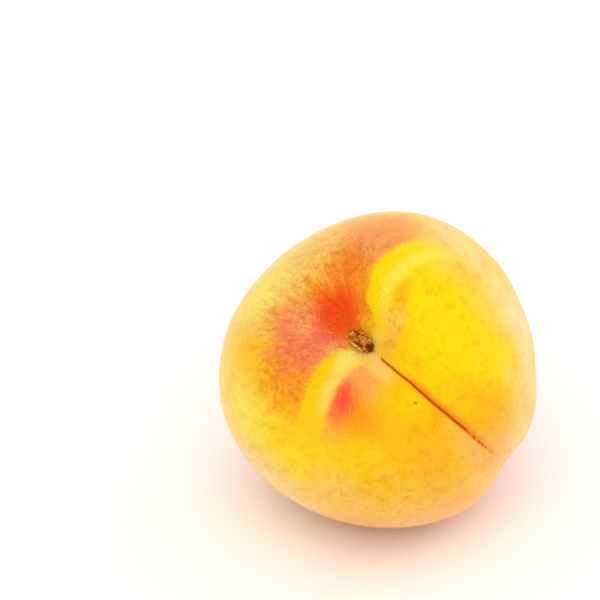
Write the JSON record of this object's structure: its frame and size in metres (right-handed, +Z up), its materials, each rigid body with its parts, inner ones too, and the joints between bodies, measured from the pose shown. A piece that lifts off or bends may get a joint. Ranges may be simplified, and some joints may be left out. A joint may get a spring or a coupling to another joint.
{
  "type": "yellow peach",
  "caption": "Ripe yellow peach with a stem cavity, a suture crease between uneven cheeks, a blossom-end point and a dry stem stub, lying on a small flat spot.",
  "frame": {"origin": "middle of the small flat spot that the peach rests on", "axes": "+Z up from the resting surface; the stem end looks up and towards -Y, and the suture runs from it towards +X and down"},
  "size_m": [0.076, 0.0758, 0.0752],
  "materials": {
    "peach_skin": "matte",
    "stub_wood": "matte"
  },
  "bodies": {
    "root": {"fruit": "peach_skin", "stem_stub": "stub_wood"}
  },
  "joints": []
}
